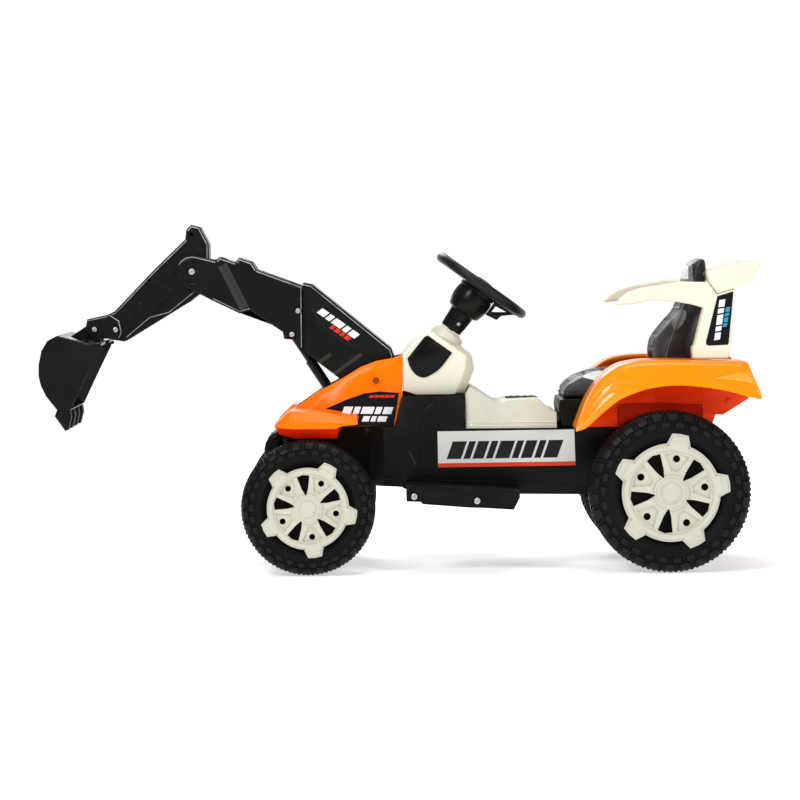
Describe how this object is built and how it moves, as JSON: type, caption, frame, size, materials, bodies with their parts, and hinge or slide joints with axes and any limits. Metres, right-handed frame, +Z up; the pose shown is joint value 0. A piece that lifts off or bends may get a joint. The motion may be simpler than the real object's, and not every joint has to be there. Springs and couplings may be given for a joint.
{
  "type": "ride-on digger",
  "caption": "Child's battery-driven ride-on tractor with a folding boom, stick and toothed bucket at the nose, steered front wheels, a padded seat, armrests and a rear wing.",
  "frame": {"origin": "On the ground, midway between the bucket's back and the wing's rear edge, on the middle plane.", "axes": "The digger's front points to -X, the driver's left is -Y, and +Z is up."},
  "size_m": [1.5135, 0.5308, 0.734],
  "materials": {
    "orange_body": "glossy moulded",
    "deep_orange_body": "satin moulded",
    "cream_trim": "satin moulded",
    "black_body": "fine grained",
    "gloss_black_trim": "polished",
    "grey_plastic": "matt",
    "seat_leather": "padded and stitched",
    "tyre_black": "moulded tread",
    "steel_parts": "zinc plated"
  },
  "bodies": {
    "chassis": {"chassis_tub": "black_body", "hood": "orange_body", "front_bumper": "black_body", "dash_console": "cream_trim", "dash_insert": "gloss_black_trim", "centre_cover": "cream_trim", "seat_cushion": "seat_leather", "seat_back": "seat_leather", "rear_body": "deep_orange_body", "rear_fender_left": "orange_body", "rear_fender_right": "orange_body", "armrest_left": "cream_trim", "armrest_right": "cream_trim", "rear_wing": "cream_trim", "foot_step_left": "black_body", "foot_step_right": "black_body", "step_rod_front": "steel_parts", "step_rod_rear": "steel_parts", "battery": "grey_plastic", "control_box": "grey_plastic", "front_axle_bracket": "steel_parts", "rear_axle": "steel_parts", "gear_motor_left": "grey_plastic", "gear_motor_right": "grey_plastic", "boom_pedestal": "steel_parts", "boom_pivot_pin": "steel_parts"},
    "boom": {"boom_rear": "black_body", "boom_front": "black_body", "boom_bolt": "steel_parts", "cylinder_pin": "steel_parts", "elbow_pin": "steel_parts"},
    "stick_arm": {"stick": "black_body", "bucket_mount": "black_body", "mount_bolt": "steel_parts", "bucket_pin": "steel_parts"},
    "bucket_shell": {"bucket": "black_body"},
    "lift_barrel": {"cylinder_barrel": "black_body"},
    "lift_rod": {"cylinder_rod": "black_body"},
    "steering": {"steering_wheel": "black_body", "steering_shroud": "black_body", "steering_shaft": "steel_parts"},
    "horn": {"horn_button": "grey_plastic"},
    "track_bar": {"tie_rod": "steel_parts"},
    "steer_left": {"knuckle_left": "steel_parts"},
    "steer_right": {"knuckle_right": "steel_parts"},
    "front_left": {"wheel_front_left": "tyre_black", "hub_cover_front_left": "cream_trim", "hub_cap_front_left": "cream_trim"},
    "front_right": {"wheel_front_right": "tyre_black", "hub_cover_front_right": "cream_trim", "hub_cap_front_right": "cream_trim"},
    "rear_left": {"wheel_rear_left": "tyre_black", "hub_cover_rear_left": "cream_trim", "hub_cap_rear_left": "cream_trim"},
    "rear_right": {"wheel_rear_right": "tyre_black", "hub_cover_rear_right": "cream_trim", "hub_cap_rear_right": "cream_trim"},
    "pedal": {"accelerator_pedal": "grey_plastic"},
    "power_rocker": {"power_switch": "gloss_black_trim"},
    "direction_rocker": {"direction_switch": "gloss_black_trim"}
  },
  "joints": [
    {"name": "boom_lift", "type": "hinge", "parent": "chassis", "child": "boom", "pos_m": [-0.045, 0, 0.4], "axis": [0, 1, 0], "range_deg": [-8, 12]},
    {"name": "stick_fold", "type": "hinge", "parent": "boom", "child": "stick_arm", "pos_m": [-0.4355, 0, 0.634], "axis": [0, 1, 0], "range_deg": [-25, 30]},
    {"name": "bucket_curl", "type": "hinge", "parent": "stick_arm", "child": "bucket_shell", "pos_m": [-0.645, 0, 0.512], "axis": [0, 1, 0], "range_deg": [-50, 30]},
    {"name": "cylinder_tilt", "type": "hinge", "parent": "chassis", "child": "lift_barrel", "pos_m": [-0.115, 0, 0.332], "axis": [0, 1, 0], "range_deg": [-8, 12]},
    {"name": "cylinder_extend", "type": "slide", "parent": "lift_barrel", "child": "lift_rod", "axis": [-0.5459, 0, 0.8378], "range_m": [-0.016, 0.022]},
    {"name": "steering_turn", "type": "hinge", "parent": "chassis", "child": "steering", "pos_m": [0.183, 0, 0.5985], "axis": [0.585, 0, 0.811], "range_deg": [-32, 32]},
    {"name": "horn_press", "type": "slide", "parent": "steering", "child": "horn", "axis": [-0.585, 0, -0.811], "range_m": [0, 0.002], "stiffness_N_per_m": 600, "springref_m": -0.002},
    {"name": "tie_rod_slide", "type": "slide", "parent": "chassis", "child": "track_bar", "axis": [0, 1, 0], "range_m": [-0.0245, 0.0245]},
    {"name": "knuckle_left_steer", "type": "hinge", "parent": "chassis", "child": "steer_left", "pos_m": [-0.188, -0.135, 0.141], "axis": [0, 0, 1], "range_deg": [-19, 19]},
    {"name": "knuckle_right_steer", "type": "hinge", "parent": "chassis", "child": "steer_right", "pos_m": [-0.188, 0.135, 0.141], "axis": [0, 0, 1], "range_deg": [-19, 19]},
    {"name": "front_left_spin", "type": "hinge", "parent": "steer_left", "child": "front_left", "pos_m": [-0.188, -0.2, 0.141], "axis": [0, 1, 0], "continuous": true},
    {"name": "front_right_spin", "type": "hinge", "parent": "steer_right", "child": "front_right", "pos_m": [-0.188, 0.2, 0.141], "axis": [0, 1, 0], "continuous": true},
    {"name": "rear_left_spin", "type": "hinge", "parent": "chassis", "child": "rear_left", "pos_m": [0.567, -0.2, 0.1685], "axis": [0, 1, 0], "continuous": true},
    {"name": "rear_right_spin", "type": "hinge", "parent": "chassis", "child": "rear_right", "pos_m": [0.567, 0.2, 0.1685], "axis": [0, 1, 0], "continuous": true},
    {"name": "accelerator", "type": "hinge", "parent": "chassis", "child": "pedal", "pos_m": [0.13, 0.189, 0.188], "axis": [0, -1, 0], "range_deg": [0, 10], "stiffness_Nm_per_rad": 0.4, "springref_deg": -17.19},
    {"name": "power_rock", "type": "hinge", "parent": "chassis", "child": "power_rocker", "pos_m": [0.251, 0, 0.354], "axis": [0, 1, 0], "range_deg": [-8, 8]},
    {"name": "direction_rock", "type": "hinge", "parent": "chassis", "child": "direction_rocker", "pos_m": [0.281, 0, 0.354], "axis": [0, 1, 0], "range_deg": [-8, 8]}
  ],
  "couplings": [
    {"joint": "cylinder_tilt", "follows": "boom_lift", "ratio": 0.9},
    {"joint": "cylinder_extend", "follows": "boom_lift", "m_per_rad": 0.095},
    {"joint": "tie_rod_slide", "follows": "steering_turn", "m_per_rad": 0.0422},
    {"joint": "knuckle_left_steer", "follows": "steering_turn", "ratio": 0.571},
    {"joint": "knuckle_right_steer", "follows": "steering_turn", "ratio": 0.571}
  ]
}
